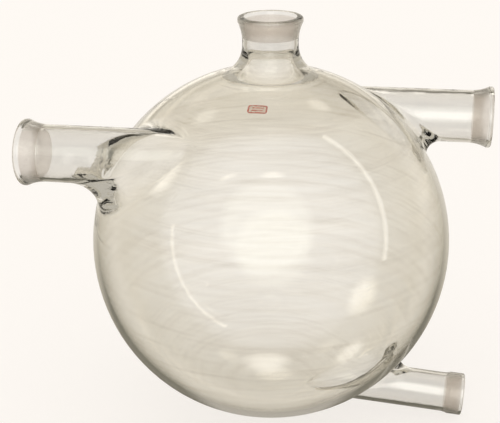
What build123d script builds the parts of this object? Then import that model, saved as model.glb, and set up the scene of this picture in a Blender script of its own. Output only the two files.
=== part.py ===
from build123d import *
import os
from math import asin, atan2, cos, radians, sin, tan

# Four-necked spherical glass vessel of about ten litres, blown and lampworked:
# a bulb, four necks sealed into holes in its wall, and a ground socket on each neck.
# Origin: centre of the bulb.  +Z: up through the top neck.
# +X: the way the drain neck points.  -Y: the side with the left neck.  Millimetres.

# Bulb
BULB_RADIUS = 140.0
BULB_WALL = 4.0

# Large necks: one on top, one on each side, tangent to the bulb rather than radial
NECK_RADIUS = 21.0
NECK_BORE_RADIUS = 17.8
TOP_NECK_END = 160.5         # height of the top neck's upper end
SIDE_NECK_OFFSET = 67.0      # the side necks lie this far in front of and behind the centre
SIDE_NECK_HEIGHT = 88.0
LEFT_NECK_REACH = 172.5      # from the centre to the left socket's rim
RIGHT_NECK_REACH = 169.0

# Flared, ground socket on each large neck
SOCKET_LENGTH = 18.0
SOCKET_RIM_RADIUS = 24.4
SOCKET_FLARE_LENGTH = 14.5
SOCKET_MOUTH_RADIUS = 19.1

# Drain neck: low on the bulb, sloping down towards its mouth
DRAIN_RADIUS = 15.8
DRAIN_BORE_RADIUS = 12.9
DRAIN_DEPTH = 118.0          # its axis passes this far below the bulb's centre
DRAIN_SLOPE = 4.0            # degrees below the horizontal
DRAIN_REACH = 159.5          # along its own axis, from below the centre to the rim

# Socket on the drain neck: a plain thick end with a ground bore
DRAIN_SOCKET_LENGTH = 17.0
DRAIN_RIM_RADIUS = 16.9
DRAIN_FLARE_LENGTH = 6.0
DRAIN_MOUTH_RADIUS = 14.0

# Lips of the sockets
LIP_OUTSIDE = 2.0
LIP_INSIDE = 1.2
DRAIN_LIP_OUTSIDE = 1.1
DRAIN_LIP_INSIDE = 0.8

# Blends between the bulb and each neck, outside and inside the glass
SHOULDER_BLEND = 24.0
SHOULDER_BLEND_INSIDE = 16.0
LEFT_BLEND = 26.0
LEFT_BLEND_INSIDE = 18.0
RIGHT_BLEND = 12.0
RIGHT_BLEND_INSIDE = 9.0
DRAIN_BLEND = 14.0
DRAIN_BLEND_INSIDE = 11.0

# Fired-on enamel mark on the front of the bulb, below the top neck
MARK_WIDTH = 14.0
MARK_HEIGHT = 8.0
MARK_THICKNESS = 0.3
MARK_CORNER = 2.0
MARK_ELEVATION = 64.0        # degrees above the bulb's equator

SEAL_MARGIN = 1.5            # degrees of bulb wall beyond a blend, up to the neck's seal
BUILD_FROM = 20.0            # a tube starts this far along its axis, well inside the bulb
SEAM_BEARING = 130.0         # degrees; where a sphere's surface closes on itself, clear of necks
CUTTER_LENGTH = 230.0
AT_START = (Align.CENTER, Align.CENTER, Align.MIN)


class Neck:
    """A neck's axis, its size and its blends.  Local +Z runs out of the neck's mouth."""

    def __init__(self, origin, direction, radius, bore, end, blend, blend_inside):
        self.plane = Plane(origin=origin, x_dir=(0, 1, 0), z_dir=direction)
        self.radius = radius
        self.bore = bore
        self.end = end
        self.blend = blend
        self.blend_inside = blend_inside

    def tube(self, radius):
        """A plain cylinder on the neck's axis, from inside the bulb to the neck's end."""
        cylinder = Cylinder(radius, self.end - BUILD_FROM, align=AT_START)
        return self.plane * Pos(0, 0, BUILD_FROM) * cylinder

    def seal_cone(self):
        """A cone from the bulb's centre that takes in the neck and all of its outer blend."""
        out = Vector(self.plane.z_dir)
        origin = Vector(self.plane.origin)
        along = origin.dot(out)
        side = origin - out * along
        spread = self.radius + self.blend
        far = self.bulb_angle(side.length + spread)
        if side.length > 0:
            mouth = atan2(side.length - self.radius, along + self.end)
            near = min(self.bulb_angle(side.length - spread), mouth)
            middle = (near + far) / 2
            centre_line = out * cos(middle) + side.normalized() * sin(middle)
        else:
            near = -far
            centre_line = out
        half_angle = (far - near) / 2 + radians(SEAL_MARGIN)
        cone = Cone(0, CUTTER_LENGTH * tan(half_angle), CUTTER_LENGTH, align=AT_START)
        return Plane(origin=(0, 0, 0), z_dir=centre_line) * cone

    def bulb_angle(self, level):
        """Angle from the neck's direction to a blend whose centre is this far from that line."""
        return asin(level / (BULB_RADIUS + self.blend))


def make_necks():
    slope = radians(DRAIN_SLOPE)
    large = (NECK_RADIUS, NECK_BORE_RADIUS)
    return {
        "top": Neck(
            (0, 0, 0), (0, 0, 1), *large,
            TOP_NECK_END, SHOULDER_BLEND, SHOULDER_BLEND_INSIDE,
        ),
        "left": Neck(
            (0, -SIDE_NECK_OFFSET, SIDE_NECK_HEIGHT), (-1, 0, 0), *large,
            LEFT_NECK_REACH - SOCKET_LENGTH, LEFT_BLEND, LEFT_BLEND_INSIDE,
        ),
        "right": Neck(
            (0, SIDE_NECK_OFFSET, SIDE_NECK_HEIGHT), (1, 0, 0), *large,
            RIGHT_NECK_REACH - SOCKET_LENGTH, RIGHT_BLEND, RIGHT_BLEND_INSIDE,
        ),
        "drain": Neck(
            (0, 0, -DRAIN_DEPTH), (cos(slope), 0, -sin(slope)), DRAIN_RADIUS, DRAIN_BORE_RADIUS,
            DRAIN_REACH - DRAIN_SOCKET_LENGTH, DRAIN_BLEND, DRAIN_BLEND_INSIDE,
        ),
    }


def blown_form(sphere_radius, tubes_and_blends):
    """A sphere with every tube run into it and the junction rounded."""
    form = Rot(0, 0, SEAM_BEARING) * Sphere(sphere_radius)
    for tube, blend in tubes_and_blends:
        joined = form + tube
        form = fillet(new_edges(form, tube, combined=joined), blend)
    return form


def make_glass(necks):
    """The whole blown vessel, still in one, without its sockets."""
    outside = blown_form(BULB_RADIUS, [(n.tube(n.radius), n.blend) for n in necks])
    inside = blown_form(BULB_RADIUS - BULB_WALL, [(n.tube(n.bore), n.blend_inside) for n in necks])
    return outside - inside


def make_socket(neck, length, rim_radius, flare_length, mouth_radius, lip_outside, lip_inside):
    """Turned socket: a flared outside and a tapered ground bore, with a fire-polished lip."""
    growth = rim_radius - neck.radius
    flare_radius = (growth**2 + flare_length**2) / (2 * growth)
    flare_centre = (neck.radius + flare_radius, 0)
    middle = asin(flare_length / flare_radius) / 2
    flare_middle = (
        flare_centre[0] - flare_radius * cos(middle),
        flare_radius * sin(middle),
    )
    outline = Polyline(
        (rim_radius, flare_length), (rim_radius, length), (mouth_radius, length),
        (neck.bore, 0), (neck.radius, 0),
    ) + ThreePointArc((neck.radius, 0), flare_middle, (rim_radius, flare_length))
    section = make_face(outline)
    corners = section.vertices()
    section = fillet(corners.sort_by_distance((rim_radius, length))[0], lip_outside)
    section = fillet(section.vertices().sort_by_distance((mouth_radius, length))[0], lip_inside)
    turned = revolve(Plane.XZ * section, Axis.Z)
    return neck.plane * Pos(0, 0, neck.end) * turned


def make_mark():
    """A thin rounded patch that follows the bulb's surface."""
    skin = Sphere(BULB_RADIUS + MARK_THICKNESS) - Sphere(BULB_RADIUS)
    elevation = radians(MARK_ELEVATION)
    facing = (0, -cos(elevation), sin(elevation))
    patch = extrude(RectangleRounded(MARK_WIDTH, MARK_HEIGHT, MARK_CORNER), 2 * BULB_RADIUS)
    return skin & (Plane(origin=(0, 0, 0), x_dir=(1, 0, 0), z_dir=facing) * patch)


def build():
    necks = make_necks()
    glass = make_glass(necks.values())
    parts = {}
    for name, neck in necks.items():
        seal = neck.seal_cone()
        parts[f"{name}_neck"] = glass & seal
        glass = glass - seal
    parts["bulb"] = glass
    large_socket = (
        SOCKET_LENGTH, SOCKET_RIM_RADIUS, SOCKET_FLARE_LENGTH, SOCKET_MOUTH_RADIUS,
        LIP_OUTSIDE, LIP_INSIDE,
    )
    for name in ("top", "left", "right"):
        parts[f"{name}_socket"] = make_socket(necks[name], *large_socket)
    parts["drain_socket"] = make_socket(
        necks["drain"], DRAIN_SOCKET_LENGTH, DRAIN_RIM_RADIUS, DRAIN_FLARE_LENGTH,
        DRAIN_MOUTH_RADIUS, DRAIN_LIP_OUTSIDE, DRAIN_LIP_INSIDE,
    )
    parts["enamel_mark"] = make_mark()
    return parts


os.makedirs("parts", exist_ok=True)
for node, solid in build().items():
    export_step(solid, f"parts/{node}.step")
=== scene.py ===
import math

import bpy
from mathutils import Matrix, Vector
from mathutils.bvhtree import BVHTree


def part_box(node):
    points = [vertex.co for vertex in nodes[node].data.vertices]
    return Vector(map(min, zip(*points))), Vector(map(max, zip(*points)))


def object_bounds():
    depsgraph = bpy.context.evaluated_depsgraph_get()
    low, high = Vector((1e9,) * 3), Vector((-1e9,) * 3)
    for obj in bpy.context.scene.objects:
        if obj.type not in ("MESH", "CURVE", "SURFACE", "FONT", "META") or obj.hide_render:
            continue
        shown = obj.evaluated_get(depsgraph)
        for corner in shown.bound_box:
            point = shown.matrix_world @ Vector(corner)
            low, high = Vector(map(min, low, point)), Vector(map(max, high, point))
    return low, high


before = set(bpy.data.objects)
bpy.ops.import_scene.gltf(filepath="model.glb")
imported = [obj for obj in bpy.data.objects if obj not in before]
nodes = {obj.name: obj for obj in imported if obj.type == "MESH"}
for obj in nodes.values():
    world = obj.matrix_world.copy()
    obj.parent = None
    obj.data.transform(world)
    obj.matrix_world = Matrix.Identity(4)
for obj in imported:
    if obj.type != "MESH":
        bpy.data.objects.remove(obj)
cad_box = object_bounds()

# Camera: where it stands around the bulb's centre, in metres and degrees
CAMERA_AZIMUTH = 8.5
CAMERA_ELEVATION = 24.0
CAMERA_DISTANCE = 0.824
CAMERA_LENS = 74.3
AIM_RIGHT = -0.0164      # the camera aims up and to the left of the bulb's centre
AIM_UP = 0.0219

# Colours, linear
WHITE = (1.0, 1.0, 1.0)
BLACK = (0.0, 0.0, 0.0)
BACKDROP = (1.0, 0.956, 0.905)
DEEP_GREY = (0.56, 0.53, 0.47)     # what light meets after more than one reflection

# Light Path's glossy depth above which light has been reflected once, and more than once
REFLECTED = 0.5
REFLECTED_AGAIN = 1.5

# Seen through the glass, by the height of the direction: dimmer overhead
SEEN_THROUGH = [
    (0.40, BACKDROP),
    (0.62, (0.80, 0.75, 0.67)),
    (0.95, (0.58, 0.53, 0.45)),
]

# Seen by reflection, by degrees away from the photograph's camera: a fixed direction in the room
ROOM = [
    (25.0, (0.60, 0.57, 0.52)),
    (60.0, (0.34, 0.32, 0.28)),
    (74.0, (0.24, 0.22, 0.18)),
    (78.0, (0.18, 0.16, 0.12)),
    (108.0, (0.18, 0.16, 0.12)),
    (128.0, (0.50, 0.46, 0.38)),
    (150.0, (0.80, 0.75, 0.66)),
    (180.0, BACKDROP),
]
# Painted shade of the floor as seen in reflections, by degrees away from the camera's direction
PAINTED_FLOOR_SHADE_STOPS = [
    (48.0, (0.42, 0.39, 0.34)),
    (66.0, (0.13, 0.12, 0.09)),
    (108.0, (0.13, 0.12, 0.09)),
    (126.0, (0.50, 0.46, 0.38)),
    (148.0, (0.85, 0.80, 0.72)),
    (180.0, BACKDROP),
]
BOARDS = [(0.40, (0.3, 0.3, 0.3)), (0.60, (1.7, 1.7, 1.7))]
BOARD_WIDTH = 0.6        # how fast the boards change sideways and upward
BOARD_HEIGHT = 9.0

# The round lamp: its offset from the camera's direction, its edge by degrees, and its colour
LAMP_UP = 0.125
LAMP_LEFT = 0.045
LAMP = [
    (25.5, WHITE),
    (26.5, (0.55, 0.55, 0.55)),
    (29.0, (0.45, 0.45, 0.45)),
    (30.0, BLACK),
]
LAMP_COLOUR = (1.60, 1.62, 1.46)

# Lit places of the room: degrees off the camera's direction, turn round it, half width, brightness
LIT_PLACES = ((85, 148, 13, 3.6), (112, 92, 9, 2.4), (100, 70, 6, 1.6), (97, 118, 7, 1.4))
# Painted pools of light on the floor, seen only in reflections: where, half size, brightness
PAINTED_FLOOR_LIGHT_POOLS = (
    ((0.024, -0.207, 0.0), (0.050, 0.036, 1.0), 3.3),
    ((0.163, -0.138, 0.0), (0.046, 0.024, 1.0), 2.6),
)
LIT_EDGE = [(0.45, WHITE), (1.0, BLACK)]

# A bright arc of the room, in degrees: radius, half thickness, middle and half length
ARC = (76.0, 1.2, 16, 47)
ARC_COLOUR = (3.2, 3.1, 2.9)

FLOOR_SIZE = 6.0
FLOOR_GAP = 0.0005

# How much of the floor's brightness the vessel may shade
FLOOR_SHADE = 0.2

# Fused faces: how far apart two pieces' faces may lie and still be one seal
SEAL_GAP = 0.0002


def camera_axes():
    """The camera's right, up and back directions when it looks at the bulb's centre."""
    azimuth = math.radians(CAMERA_AZIMUTH)
    elevation = math.radians(CAMERA_ELEVATION)
    back = Vector((
        math.sin(azimuth) * math.cos(elevation),
        -math.cos(azimuth) * math.cos(elevation),
        math.sin(elevation),
    ))
    right = Vector((math.cos(azimuth), math.sin(azimuth), 0.0))
    return right, back.cross(right), back


def add_camera():
    right, up, back = camera_axes()
    place = back * CAMERA_DISTANCE
    aim = right * AIM_RIGHT + up * AIM_UP
    view_back = (place - aim).normalized()
    view_right = up.cross(view_back).normalized()
    view_up = view_back.cross(view_right)
    data = bpy.data.cameras.new("camera")
    data.lens = CAMERA_LENS
    data.clip_start = 0.01
    camera = bpy.data.objects.new("camera", data)
    bpy.context.scene.collection.objects.link(camera)
    turn = Matrix((view_right, view_up, view_back)).transposed().to_4x4()
    camera.matrix_world = Matrix.Translation(place) @ turn
    bpy.context.scene.camera = camera


class Tree:
    """A node tree that is built by short calls."""

    def __init__(self, owner):
        owner.use_nodes = True
        self.tree = owner.node_tree
        self.tree.nodes.clear()

    def add(self, kind, inputs=None, **settings):
        node = self.tree.nodes.new(kind)
        for name, value in settings.items():
            setattr(node, name, value)
        for name, value in (inputs or {}).items():
            self.feed(node.inputs[name], value)
        return node

    def feed(self, socket, value):
        if isinstance(value, bpy.types.NodeSocket):
            self.tree.links.new(value, socket)
        else:
            socket.default_value = value

    def math(self, operation, *values, clamp=False):
        node = self.add("ShaderNodeMath", operation=operation, use_clamp=clamp)
        for socket, value in zip(node.inputs, values):
            self.feed(socket, value)
        return node.outputs[0]

    def vector(self, operation, *values):
        node = self.add("ShaderNodeVectorMath", operation=operation)
        for socket, value in zip(node.inputs, values):
            self.feed(socket, value)
        return node.outputs["Value"] if operation in ("DOT_PRODUCT", "LENGTH") else node.outputs[0]

    def ramp(self, value, stops, interpolation="LINEAR"):
        node = self.add("ShaderNodeValToRGB", {"Fac": value})
        node.color_ramp.interpolation = interpolation
        elements = node.color_ramp.elements
        while len(elements) > 1:
            elements.remove(elements[-1])
        elements[0].position = stops[0][0]
        elements[0].color = (*stops[0][1], 1.0)
        for place, colour in stops[1:]:
            elements.new(place).color = (*colour, 1.0)
        return node.outputs["Color"]

    def mix(self, factor, a, b):
        node = self.add("ShaderNodeMix", data_type="RGBA")
        self.feed(node.inputs[0], factor)
        self.feed(node.inputs[6], a)
        self.feed(node.inputs[7], b)
        return node.outputs[2]


def by_degrees(stops):
    """Colour stops given in degrees, for a ramp over half a turn."""
    return [(degrees / 180, colour) for degrees, colour in stops]


def add_world():
    """White surroundings seen through the glass, and a dim room with lights for reflections."""
    world = bpy.data.worlds.new("studio")
    bpy.context.scene.world = world
    tree = Tree(world)
    path = tree.add("ShaderNodeLightPath")
    direction = tree.add("ShaderNodeTexCoord").outputs["Generated"]
    height = tree.add("ShaderNodeSeparateXYZ", {"Vector": direction}).outputs["Z"]
    right, up, back = (tuple(axis) for axis in camera_axes())

    through = tree.ramp(height, SEEN_THROUGH)

    lamp = (Vector(back) + Vector(up) * LAMP_UP - Vector(right) * LAMP_LEFT).normalized()
    from_lamp = tree.math("ARCCOSINE", tree.vector("DOT_PRODUCT", direction, tuple(lamp)))
    cosine = tree.vector("DOT_PRODUCT", direction, back)
    angle = tree.math("DIVIDE", tree.math("ARCCOSINE", cosine), math.pi)
    to_right = tree.vector("DOT_PRODUCT", direction, right)
    to_up = tree.vector("DOT_PRODUCT", direction, up)
    room = tree.ramp(angle, by_degrees(ROOM))
    # Level boards and shelves of the room, light and dark
    levels = tree.add("ShaderNodeCombineXYZ", {
        "X": tree.math("MULTIPLY", to_right, BOARD_WIDTH),
        "Y": 0.0,
        "Z": tree.math("MULTIPLY", to_up, BOARD_HEIGHT),
    }).outputs[0]
    boards = tree.add("ShaderNodeTexNoise", {"Vector": levels, "Scale": 1.0, "Detail": 2.0})
    room = tree.vector("MULTIPLY", room, tree.ramp(boards.outputs["Fac"], BOARDS))
    light = tree.ramp(tree.math("DIVIDE", from_lamp, math.pi), by_degrees(LAMP))
    room = tree.mix(light, room, (*LAMP_COLOUR, 1.0))
    for off, turned, width, level in LIT_PLACES:
        off, turned = math.radians(off), math.radians(turned)
        aim = Vector(back) * math.cos(off)
        aim += (Vector(right) * math.cos(turned) + Vector(up) * math.sin(turned)) * math.sin(off)
        gap = tree.math("ARCCOSINE", tree.vector("DOT_PRODUCT", direction, tuple(aim)))
        lit = tree.ramp(tree.math("DIVIDE", gap, math.radians(width)), LIT_EDGE)
        room = tree.mix(lit, room, (level, level * 0.96, level * 0.87, 1.0))
    turn = tree.math("ARCTAN2", to_up, to_right)
    radius, thickness, middle, half = ARC
    arc = tree.math("COMPARE", angle, radius / 180, thickness / 180)
    along = tree.math("COMPARE", turn, math.radians(middle), math.radians(half))
    room = tree.mix(tree.math("MULTIPLY", arc, along), room, (*ARC_COLOUR, 1.0))

    depth = path.outputs["Glossy Depth"]
    again = tree.math("GREATER_THAN", depth, REFLECTED_AGAIN)
    room = tree.mix(again, room, (*DEEP_GREY, 1.0))
    colour = tree.mix(tree.math("GREATER_THAN", depth, REFLECTED), through, room)
    colour = tree.mix(path.outputs["Is Diffuse Ray"], colour, (*BACKDROP, 1.0))
    background = tree.add("ShaderNodeBackground", {"Color": colour, "Strength": 1.0})
    output = tree.add("ShaderNodeOutputWorld")
    tree.tree.links.new(background.outputs[0], output.inputs["Surface"])


def add_floor():
    bpy.ops.mesh.primitive_plane_add(size=FLOOR_SIZE, location=(0, 0, cad_box[0][2] - FLOOR_GAP))
    floor = bpy.context.object
    floor.name = "floor"
    material = bpy.data.materials.new("floor")
    tree = Tree(material)
    depth = tree.add("ShaderNodeLightPath").outputs["Glossy Depth"]
    mirrored = tree.math("GREATER_THAN", depth, REFLECTED)
    # In reflections the floor shows painted shade, dimmer by the angle away from the camera's fixed
    # direction, with two painted pools of light in front of the vessel
    place = tree.add("ShaderNodeTexCoord").outputs["Object"]
    away = tree.vector("DOT_PRODUCT", tree.vector("NORMALIZE", place), tuple(camera_axes()[2]))
    painted_floor_light_and_shade = tree.ramp(tree.math("DIVIDE", tree.math("ARCCOSINE", away), math.pi), by_degrees(PAINTED_FLOOR_SHADE_STOPS))
    for spot, size, level in PAINTED_FLOOR_LIGHT_POOLS:
        offset = tree.vector("DIVIDE", tree.vector("SUBTRACT", place, spot), size)
        lit = tree.ramp(tree.vector("LENGTH", offset), LIT_EDGE)
        painted_floor_light_and_shade = tree.mix(lit, painted_floor_light_and_shade, (level, level * 0.96, level * 0.88, 1.0))
    painted_floor_light_and_shade = tree.mix(tree.math("GREATER_THAN", depth, REFLECTED_AGAIN), painted_floor_light_and_shade, (*DEEP_GREY, 1.0))
    glow = tree.mix(mirrored, (*BACKDROP, 1.0), painted_floor_light_and_shade)
    emission = tree.add("ShaderNodeEmission", {"Color": glow, "Strength": 1.0})
    diffuse = tree.add("ShaderNodeBsdfDiffuse", {"Color": (1.0, 1.0, 1.0, 1.0)})
    share = tree.math("MULTIPLY", tree.math("SUBTRACT", 1.0, mirrored), FLOOR_SHADE)
    shader = tree.add("ShaderNodeMixShader", {0: share})
    tree.tree.links.new(emission.outputs[0], shader.inputs[1])
    tree.tree.links.new(diffuse.outputs[0], shader.inputs[2])
    output = tree.add("ShaderNodeOutputMaterial")
    tree.tree.links.new(shader.outputs[0], output.inputs["Surface"])
    floor.data.materials.append(material)


# Glass tint at one surface, by how edge-on it is seen: partly real tint, and partly painted shade, a
# darker ring part way to the edge that stands in for the dark room reflected there
TINT_AND_PAINTED_EDGE_SHADE = [
    (0.00, (0.973, 0.972, 0.954)),
    (0.15, (0.966, 0.962, 0.938)),
    (0.205, (0.954, 0.947, 0.914)),
    (0.245, (0.890, 0.876, 0.825)),
    (0.46, (0.890, 0.870, 0.805)),
    (0.58, (0.985, 0.970, 0.925)),
    (1.00, (1.000, 0.985, 0.940)),
]
WORKED_TINT_AND_PAINTED_SHADE = [    # the worked glass of the necks: partly its own grey tint, and partly painted shade, a dark band just off square-on round the lamp's highlight
    (0.000, (0.985, 0.982, 0.970)),
    (0.011, (0.975, 0.972, 0.960)),
    (0.020, (0.880, 0.878, 0.862)),
    (0.110, (0.880, 0.875, 0.856)),
    (0.160, (0.935, 0.928, 0.908)),
    (0.400, (0.945, 0.935, 0.910)),
    (1.000, (0.980, 0.968, 0.945)),
]
WORKED_SPECULAR = 0.8    # the necks mirror their lamp more than the bulb does
BULB_RADIUS = 0.140
GLASS_IOR = 1.47

# Fine level streaks in the glass, and the shoulder's broad bands of painted reflection: noise
# stretch per metre, and tint
STREAK_STRETCH = (9.0, 9.0, 300.0)
STREAK_TINT = [(0.34, (0.900, 0.885, 0.865)), (0.47, (0.985, 0.980, 0.972)), (0.60, WHITE)]
BAND_STRETCH = (7.0, 7.0, 110.0)
PAINTED_SHOULDER_REFLECTION = [(0.42, (0.890, 0.880, 0.860)), (0.55, (1.0, 0.995, 0.985))]
SHOULDER_HEIGHT = 0.104  # the painted reflection bands fade in from here up
SHOULDER_FADE = 60.0

# Ripples all over and waves on the necks, in metres of bump
RIPPLE_STRETCH = (6.0, 6.0, 90.0)
RIPPLE_DEPTH = 0.00004
WAVE_SCALE = 45.0
WAVE_DEPTH = 0.0008
NECK_FADE = 170.0        # how fast neck glass takes over outside the bulb's radius


def blown_surface(tree, worked=True):
    """The tint, with painted shade and the shoulder's painted reflection bands, normal and place of
    blown glass, with level streaks and soft waves.
    """
    place = tree.add("ShaderNodeTexCoord").outputs["Object"]
    facing = tree.add("ShaderNodeLayerWeight", {"Blend": 0.5}).outputs["Facing"]
    # Real glass tint plus painted shade: a darker ring part way out towards the silhouette
    tint_and_painted_shade = tree.ramp(facing, TINT_AND_PAINTED_EDGE_SHADE)
    fine = tree.vector("MULTIPLY", place, STREAK_STRETCH)
    streaks = tree.add("ShaderNodeTexNoise", {
        "Vector": fine, "Scale": 1.0, "Detail": 5.0, "Roughness": 0.65,
    })
    tint_and_painted_shade = tree.vector("MULTIPLY", tint_and_painted_shade, tree.ramp(streaks.outputs["Fac"], STREAK_TINT))
    # Painted reflection: broad level bands, dark and light, painted on the shoulder round the top
    # neck
    height = tree.add("ShaderNodeSeparateXYZ", {"Vector": place}).outputs["Z"]
    above = tree.math("SUBTRACT", height, SHOULDER_HEIGHT)
    painted_band_mask = tree.math("MULTIPLY", above, SHOULDER_FADE, clamp=True)
    broad = tree.vector("MULTIPLY", place, BAND_STRETCH)
    bands = tree.add("ShaderNodeTexNoise", {"Vector": broad, "Scale": 1.0, "Detail": 1.5})
    painted_band_reflection = tree.ramp(bands.outputs["Fac"], PAINTED_SHOULDER_REFLECTION)
    tint_and_painted_shade = tree.mix(painted_band_mask, tint_and_painted_shade, tree.vector("MULTIPLY", tint_and_painted_shade, painted_band_reflection))
    coarse = tree.vector("MULTIPLY", place, RIPPLE_STRETCH)
    ripples = tree.add("ShaderNodeTexNoise", {"Vector": coarse, "Scale": 1.0, "Detail": 2.0})
    bump = tree.add("ShaderNodeBump", {
        "Height": ripples.outputs["Fac"], "Strength": 1.0, "Distance": RIPPLE_DEPTH,
    })
    normal = bump.outputs["Normal"]
    if worked:
        # Out on a neck the glass is greyer, with painted shade round its highlight, and wavier than
        # on the bulb
        out = tree.math("SUBTRACT", tree.vector("LENGTH", place), BULB_RADIUS)
        on_neck = tree.math("MULTIPLY", out, NECK_FADE, clamp=True)
        tint_and_painted_shade = tree.mix(on_neck, tint_and_painted_shade, tree.ramp(facing, WORKED_TINT_AND_PAINTED_SHADE))
        waves = tree.add("ShaderNodeTexNoise", {"Vector": place, "Scale": WAVE_SCALE, "Detail": 1.5})
        depth_of_wave = tree.math("MULTIPLY", waves.outputs["Fac"], on_neck)
        soft = tree.add("ShaderNodeBump", {
            "Height": depth_of_wave, "Strength": 1.0, "Distance": WAVE_DEPTH, "Normal": normal,
        })
        normal = soft.outputs["Normal"]
    return tint_and_painted_shade, normal, place


def glass_material(name, worked):
    material = bpy.data.materials.new(name)
    tree = Tree(material)
    tint_and_painted_shade, normal, _ = blown_surface(tree, worked)
    shader = tree.add("ShaderNodeBsdfPrincipled", {
        "Base Color": tint_and_painted_shade, "Roughness": 0.0, "IOR": GLASS_IOR, "Transmission Weight": 1.0,
        "Normal": normal, "Specular IOR Level": WORKED_SPECULAR if worked else 0.5,
    })
    output = tree.add("ShaderNodeOutputMaterial")
    tree.tree.links.new(shader.outputs[0], output.inputs["Surface"])
    return material


# The ground bands: tint, grain per metre and roughness
GRAIN_TINT = [(0.35, (0.57, 0.51, 0.45)), (0.65, (0.75, 0.69, 0.62))]
GRAIN_SCALE = 1400.0
GROUND_ROUGHNESS = 0.42


def socket_material(name, rim, axis, bore, band):
    """Clear glass with a ground band inside the bore, between two depths below the rim."""
    material = bpy.data.materials.new(name)
    tree = Tree(material)
    tint_and_painted_shade, normal, place = blown_surface(tree)
    from_rim = tree.vector("SUBTRACT", place, rim)
    depth = tree.math("MULTIPLY", tree.vector("DOT_PRODUCT", from_rim, axis), -1.0)
    across = tree.vector("CROSS_PRODUCT", from_rim, axis)
    radius = tree.vector("LENGTH", across)
    inside = tree.math("LESS_THAN", radius, bore)
    middle = (band[0] + band[1]) / 2
    off_middle = tree.math("ABSOLUTE", tree.math("SUBTRACT", depth, middle))
    near = tree.math("SUBTRACT", (band[1] - band[0]) / 2, off_middle)
    ground = tree.math("MULTIPLY", near, 2500.0, clamp=True)
    ground = tree.math("MULTIPLY", ground, inside)
    grain = tree.add("ShaderNodeTexNoise", {"Vector": place, "Scale": GRAIN_SCALE, "Detail": 3.0})
    grain_colour = tree.ramp(grain.outputs["Fac"], GRAIN_TINT)
    colour = tree.mix(ground, tint_and_painted_shade, grain_colour)
    roughness = tree.math("MULTIPLY", ground, GROUND_ROUGHNESS)
    bump = tree.add("ShaderNodeBump", {
        "Height": tree.math("MULTIPLY", grain.outputs["Fac"], ground),
        "Strength": 0.6, "Distance": 0.0001, "Normal": normal,
    })
    shader = tree.add("ShaderNodeBsdfPrincipled", {
        "Base Color": colour, "Roughness": roughness, "IOR": GLASS_IOR, "Transmission Weight": 1.0,
        "Normal": bump.outputs["Normal"], "Specular IOR Level": WORKED_SPECULAR,
    })
    output = tree.add("ShaderNodeOutputMaterial")
    tree.tree.links.new(shader.outputs[0], output.inputs["Surface"])
    return material


# The mark's print, in metres from its middle
MARK_TILT = 64.0
MARK_FRAME = (0.0058, 0.0031)
BAR_OFFSET = 0.0013
BAR_HALF_WIDTH = 0.0004
BAR_HALF_LENGTH = 0.0042


def enamel_material():
    """Thin fired red enamel, worn through in places: a plain frame round two level bars."""
    material = bpy.data.materials.new("enamel")
    tree = Tree(material)
    place = tree.add("ShaderNodeTexCoord").outputs["Object"]
    low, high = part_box("enamel_mark")
    middle = [(a + b) / 2 for a, b in zip(low, high)]
    offset = tree.vector("SUBTRACT", place, tuple(middle))
    parts = tree.add("ShaderNodeSeparateXYZ", {"Vector": offset})
    # Distances along and across the mark, measured over its face
    along = tree.math("ABSOLUTE", parts.outputs["X"])
    tilt = math.radians(MARK_TILT)
    down = (0.0, -math.sin(tilt), -math.cos(tilt))
    across = tree.vector("DOT_PRODUCT", offset, down)
    frame_x = tree.math("GREATER_THAN", along, MARK_FRAME[0])
    frame_y = tree.math("GREATER_THAN", tree.math("ABSOLUTE", across), MARK_FRAME[1])
    bars = tree.math("COMPARE", tree.math("ABSOLUTE", across), BAR_OFFSET, BAR_HALF_WIDTH)
    bars = tree.math("MULTIPLY", bars, tree.math("LESS_THAN", along, BAR_HALF_LENGTH))
    printed = tree.math("MAXIMUM", tree.math("MAXIMUM", frame_x, frame_y), bars)
    wear = tree.add("ShaderNodeTexNoise", {"Vector": place, "Scale": 900.0, "Detail": 3.0})
    worn = tree.ramp(wear.outputs["Fac"], [(0.36, (0.35, 0.35, 0.35)), (0.56, (1.0, 1.0, 1.0))])
    printed = tree.math("MULTIPLY", printed, worn)
    red = tree.ramp(wear.outputs["Fac"], [(0.3, (0.62, 0.16, 0.10)), (0.7, (0.50, 0.09, 0.055))])
    colour = tree.mix(printed, (0.97, 0.88, 0.83, 1.0), red)
    clear = tree.math("SUBTRACT", 1.0, tree.math("MULTIPLY", printed, 0.85))
    shader = tree.add("ShaderNodeBsdfPrincipled", {
        "Base Color": colour, "Roughness": 0.25, "IOR": GLASS_IOR, "Transmission Weight": clear,
    })
    output = tree.add("ShaderNodeOutputMaterial")
    tree.tree.links.new(shader.outputs[0], output.inputs["Surface"])
    return material


def seal_material():
    """Fused faces inside the glass, which light crosses without bending."""
    material = bpy.data.materials.new("fused_seal")
    tree = Tree(material)
    shader = tree.add("ShaderNodeBsdfTransparent")
    output = tree.add("ShaderNodeOutputMaterial")
    tree.tree.links.new(shader.outputs[0], output.inputs["Surface"])
    return material


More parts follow.
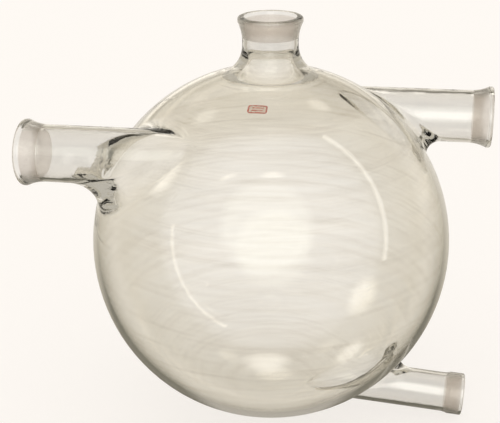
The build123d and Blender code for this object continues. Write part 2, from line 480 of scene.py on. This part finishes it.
def mark_seals(glass, seal):
    """Give each face that lies against another piece of glass the seal material."""
    trees = {o.name: BVHTree.FromObject(o, bpy.context.evaluated_depsgraph_get()) for o in glass}
    for piece in glass:
        piece.data.materials.append(seal)
        index = len(piece.data.materials) - 1
        for face in piece.data.polygons:
            for other in glass:
                if other is piece:
                    continue
                hit, normal, _, gap = trees[other.name].find_nearest(face.center, SEAL_GAP)
                if hit is not None and normal.dot(face.normal) < -0.95:
                    face.material_index = index
                    break


add_camera()
add_world()
add_floor()

blown = glass_material("blown_glass", worked=False)
worked = glass_material("worked_glass", worked=True)
seal = seal_material()
glass = [o for n, o in nodes.items() if n != "enamel_mark"]
for piece in glass:
    piece.data.materials.clear()
    piece.data.materials.append(blown if piece.name == "bulb" else worked)

# Each socket's rim, outward axis, widest bore radius, and its ground band's depths below the rim
LARGE_BORE = 0.0197
LARGE_BAND = (0.0025, 0.0158)
DRAIN_BORE = 0.0145
DRAIN_BAND = (0.002, 0.0145)
DRAIN_DEPTH = 0.118
DRAIN_REACH = 0.1595
DRAIN_SLOPE = math.radians(4.0)
DRAIN_AXIS = (math.cos(DRAIN_SLOPE), 0.0, -math.sin(DRAIN_SLOPE))
DRAIN_RIM = (DRAIN_AXIS[0] * DRAIN_REACH, 0.0, -DRAIN_DEPTH + DRAIN_AXIS[2] * DRAIN_REACH)
SOCKETS = {
    "top_socket": ((0.0, 0.0, 0.1785), (0.0, 0.0, 1.0), LARGE_BORE, LARGE_BAND),
    "left_socket": ((-0.1725, -0.067, 0.088), (-1.0, 0.0, 0.0), LARGE_BORE, LARGE_BAND),
    "right_socket": ((0.169, 0.067, 0.088), (1.0, 0.0, 0.0), LARGE_BORE, LARGE_BAND),
    "drain_socket": (DRAIN_RIM, DRAIN_AXIS, DRAIN_BORE, DRAIN_BAND),
}
for name, (rim, axis, bore, band) in SOCKETS.items():
    nodes[name].data.materials.clear()
    nodes[name].data.materials.append(socket_material(name + "_glass", rim, axis, bore, band))
mark_seals(glass, seal)

nodes["enamel_mark"].data.materials.clear()
nodes["enamel_mark"].data.materials.append(enamel_material())

bpy.context.scene.view_settings.view_transform = "Standard"
bpy.context.scene.cycles.max_bounces = 32
bpy.context.scene.cycles.transmission_bounces = 32
bpy.context.scene.cycles.glossy_bounces = 24
bpy.context.scene.cycles.transparent_max_bounces = 48
